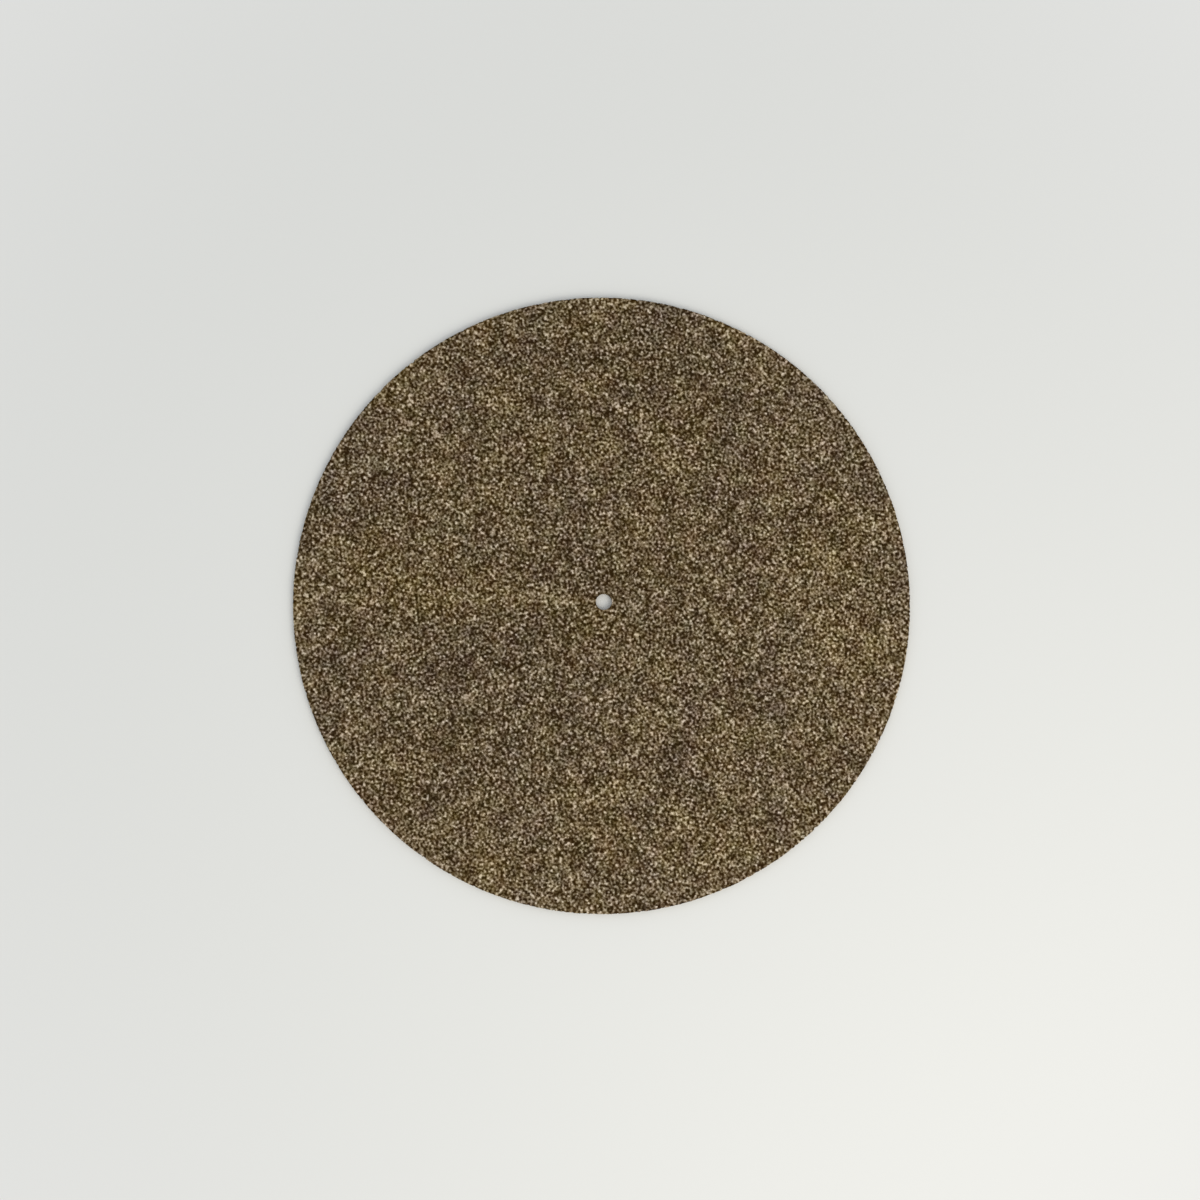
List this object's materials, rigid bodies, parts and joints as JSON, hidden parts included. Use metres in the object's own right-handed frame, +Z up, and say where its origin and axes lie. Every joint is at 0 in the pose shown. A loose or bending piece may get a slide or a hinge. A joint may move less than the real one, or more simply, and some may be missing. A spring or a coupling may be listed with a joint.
{
  "type": "turntable platter mat",
  "caption": "Flat round cork-and-rubber mat with a small centre hole, laid on a record player's platter to carry and damp the record.",
  "frame": {"origin": "centre of the underside, on the axis of the spindle hole", "axes": "+Z up along the spindle's axis, out of the face that carries the record; +Y towards the top of the disc as the picture shows it, and +X to its right"},
  "size_m": [0.295, 0.295, 0.003],
  "materials": {
    "cork_rubber": "matte"
  },
  "bodies": {
    "root": {"platter_mat": "cork_rubber"}
  },
  "joints": []
}
